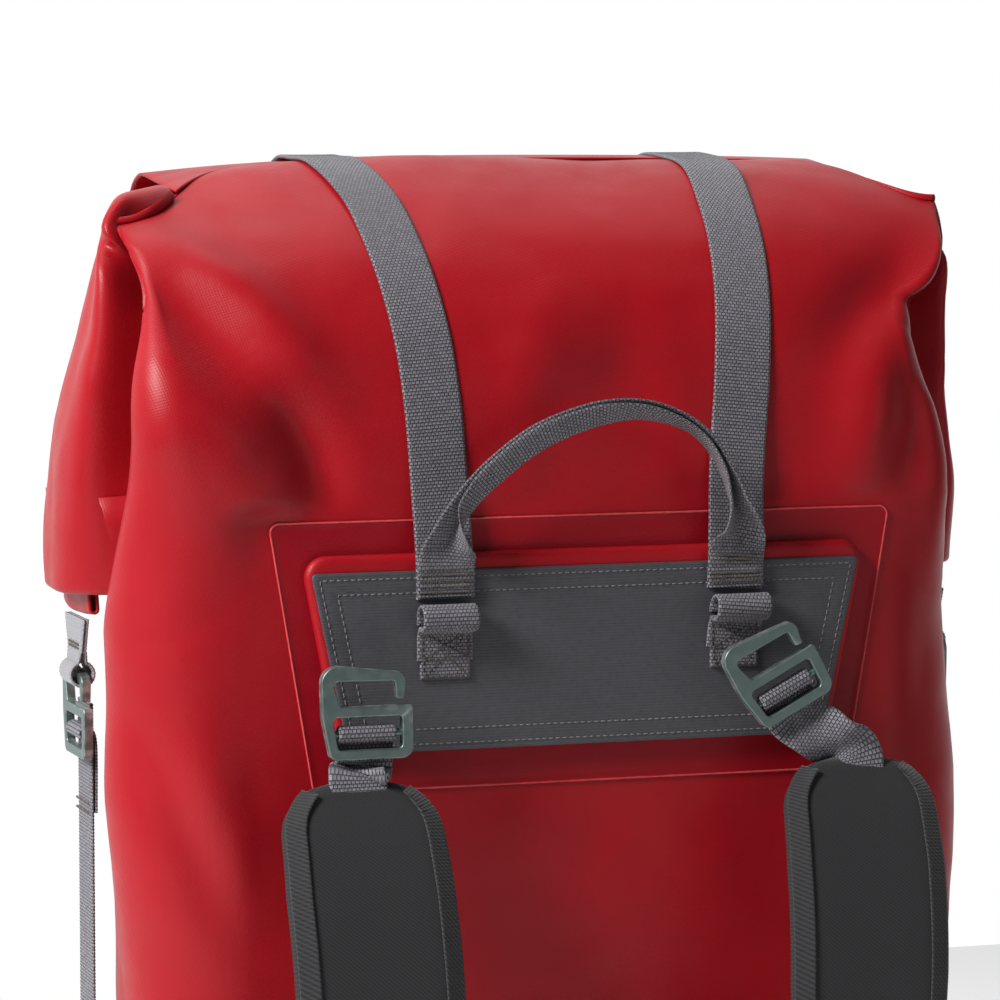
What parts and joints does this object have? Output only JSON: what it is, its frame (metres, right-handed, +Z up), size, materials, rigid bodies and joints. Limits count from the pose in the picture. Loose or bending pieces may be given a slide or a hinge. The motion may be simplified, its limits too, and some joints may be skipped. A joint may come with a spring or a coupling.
{
  "type": "pannier bag",
  "caption": "Roll-top dry-bag pannier of coated fabric, with straps over the top, a haul handle, a hook-on shoulder harness and rack hooks.",
  "frame": {"origin": "on the floor under the middle of the whole bag", "axes": "+Z up, +X right seen from the harness side, +Y towards the rack"},
  "size_m": [0.4116, 0.2644, 0.5418],
  "materials": {
    "red_fabric": "semi-matte coated",
    "grey_panel": "matte ribbed",
    "webbing": "woven",
    "tab_fabric": "smooth",
    "hook_metal": "anodised",
    "black_foam": "mesh",
    "black_plastic": "matte",
    "steel": "brushed"
  },
  "bodies": {
    "bag": {"bag_shell": "red_fabric", "roll_closure": "red_fabric", "closure_flap_left": "red_fabric", "closure_flap_right": "red_fabric", "harness_patch": "red_fabric", "harness_pad": "red_fabric", "harness_panel": "grey_panel", "closure_batten": "black_plastic", "stiffener_board": "black_plastic", "rack_rail": "black_plastic", "lower_rail": "black_plastic", "rack_rail_screws": "steel", "lower_rail_screws": "steel", "top_strap_left": "webbing", "top_hook_wrap_left": "webbing", "top_anchor_left": "webbing", "harness_loop_left": "webbing", "handle_anchor_left": "webbing", "lower_anchor_left": "webbing", "side_anchor_left": "webbing", "top_hook_left": "hook_metal", "closure_tab_left": "tab_fabric", "top_strap_right": "webbing", "top_hook_wrap_right": "webbing", "top_anchor_right": "webbing", "harness_loop_right": "webbing", "handle_anchor_right": "webbing", "lower_anchor_right": "webbing", "side_anchor_right": "webbing", "top_hook_right": "hook_metal", "closure_tab_right": "tab_fabric"},
    "haul_handle": {"haul_handle": "webbing"},
    "lower_slider": {"lower_slider": "black_plastic"},
    "lower_hook": {"lower_hook": "black_plastic"},
    "shoulder_strap_left": {"shoulder_pad_left": "black_foam", "shoulder_webbing_left": "webbing", "lower_webbing_left": "webbing", "strap_buckle_left": "black_plastic"},
    "shoulder_hook_left": {"shoulder_hook_left": "hook_metal"},
    "side_hook_left": {"side_hook_left": "hook_metal"},
    "side_strap_left": {"side_strap_left": "webbing"},
    "rack_hook_left": {"rack_hook_left": "black_plastic"},
    "rack_lever_left": {"rack_lever_left": "black_plastic"},
    "shoulder_strap_right": {"shoulder_pad_right": "black_foam", "shoulder_webbing_right": "webbing", "lower_webbing_right": "webbing", "strap_buckle_right": "black_plastic"},
    "shoulder_hook_right": {"shoulder_hook_right": "hook_metal"},
    "side_hook_right": {"side_hook_right": "hook_metal"},
    "side_strap_right": {"side_strap_right": "webbing"},
    "rack_hook_right": {"rack_hook_right": "black_plastic"},
    "rack_lever_right": {"rack_lever_right": "black_plastic"}
  },
  "joints": [
    {"name": "haul_handle_swing", "type": "hinge", "parent": "bag", "child": "haul_handle", "pos_m": [0, -0.0823, 0.378], "axis": [1, 0, 0], "range_deg": [-8, 105]},
    {"name": "shoulder_strap_swing_left", "type": "hinge", "parent": "bag", "child": "shoulder_strap_left", "pos_m": [-0.1, -0.079, 0.033], "axis": [1, 0, 0], "range_deg": [0, 80]},
    {"name": "shoulder_hook_tilt_left", "type": "hinge", "parent": "shoulder_strap_left", "child": "shoulder_hook_left", "pos_m": [-0.104, -0.0982, 0.3085], "axis": [-1, 0, 0], "range_deg": [0, 30]},
    {"name": "side_hook_swing_left", "type": "hinge", "parent": "bag", "child": "side_hook_left", "pos_m": [-0.196, 0.021, 0.323], "axis": [0, 1, 0], "range_deg": [0, 8]},
    {"name": "side_strap_sway_left", "type": "hinge", "parent": "bag", "child": "side_strap_left", "pos_m": [-0.1918, 0.021, 0.045], "axis": [0, 1, 0], "range_deg": [-0.8, 0]},
    {"name": "rack_hook_slide_left", "type": "slide", "parent": "bag", "child": "rack_hook_left", "axis": [1, 0, 0], "range_m": [-0.04, 0.07]},
    {"name": "rack_lever_turn_left", "type": "hinge", "parent": "rack_hook_left", "child": "rack_lever_left", "pos_m": [-0.095, 0.1143, 0.346], "axis": [-1, 0, 0], "range_deg": [0, 55], "stiffness_Nm_per_rad": 0.05, "springref_deg": -11.46},
    {"name": "shoulder_strap_swing_right", "type": "hinge", "parent": "bag", "child": "shoulder_strap_right", "pos_m": [0.1, -0.079, 0.033], "axis": [1, 0, 0], "range_deg": [0, 80]},
    {"name": "shoulder_hook_tilt_right", "type": "hinge", "parent": "shoulder_strap_right", "child": "shoulder_hook_right", "pos_m": [0.07923, -0.0982, 0.31905], "axis": [-0.8829, 0, -0.4695], "range_deg": [0, 30]},
    {"name": "side_hook_swing_right", "type": "hinge", "parent": "bag", "child": "side_hook_right", "pos_m": [0.196, 0.021, 0.323], "axis": [0, -1, 0], "range_deg": [0, 8]},
    {"name": "side_strap_sway_right", "type": "hinge", "parent": "bag", "child": "side_strap_right", "pos_m": [0.1918, 0.021, 0.045], "axis": [0, -1, 0], "range_deg": [-0.8, 0]},
    {"name": "rack_hook_slide_right", "type": "slide", "parent": "bag", "child": "rack_hook_right", "axis": [1, 0, 0], "range_m": [-0.07, 0.04]},
    {"name": "rack_lever_turn_right", "type": "hinge", "parent": "rack_hook_right", "child": "rack_lever_right", "pos_m": [0.095, 0.1143, 0.346], "axis": [-1, 0, 0], "range_deg": [0, 55], "stiffness_Nm_per_rad": 0.05, "springref_deg": -11.46},
    {"name": "lower_hook_slide", "type": "slide", "parent": "bag", "child": "lower_slider", "axis": [1, 0, 0], "range_m": [-0.044, 0.044]},
    {"name": "lower_hook_swivel", "type": "hinge", "parent": "lower_slider", "child": "lower_hook", "pos_m": [0, 0.108, 0.13], "axis": [0, 1, 0], "range_deg": [-90, 90]}
  ],
  "couplings": [
    {"joint": "side_strap_sway_left", "follows": "side_hook_swing_left", "ratio": -0.0988},
    {"joint": "side_strap_sway_right", "follows": "side_hook_swing_right", "ratio": -0.0988}
  ]
}
